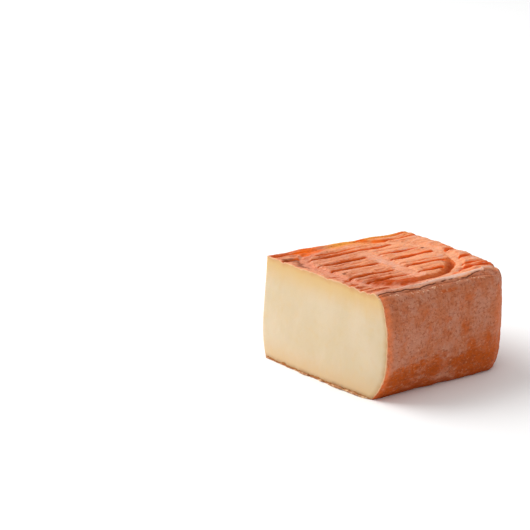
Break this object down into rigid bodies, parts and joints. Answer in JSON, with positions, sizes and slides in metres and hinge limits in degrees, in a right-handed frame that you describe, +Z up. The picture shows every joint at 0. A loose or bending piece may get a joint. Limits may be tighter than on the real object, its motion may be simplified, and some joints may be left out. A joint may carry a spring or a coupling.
{
  "type": "taleggio cheese quarter block",
  "caption": "Quarter block of taleggio cheese: soft pale paste on its knife cuts, and a bulging orange washed rind with rack lines and a plain pressed frame on top.",
  "frame": {"origin": "middle of the footprint's bounding box, on the face that the cheese rests on", "axes": "+Z up; +X along the front knife cut, from the knife corner to the rind; +Y along the other knife cut, from the front cut to the far rind side"},
  "size_m": [0.0998, 0.0998, 0.0558],
  "materials": {
    "rind": "dull washed rind, orange to red-brown with a pale bloom",
    "paste": "soft moist satin cheese paste, ivory with a straw tone under the rind"
  },
  "bodies": {
    "root": {"cheese_quarter": "rind"}
  },
  "joints": []
}
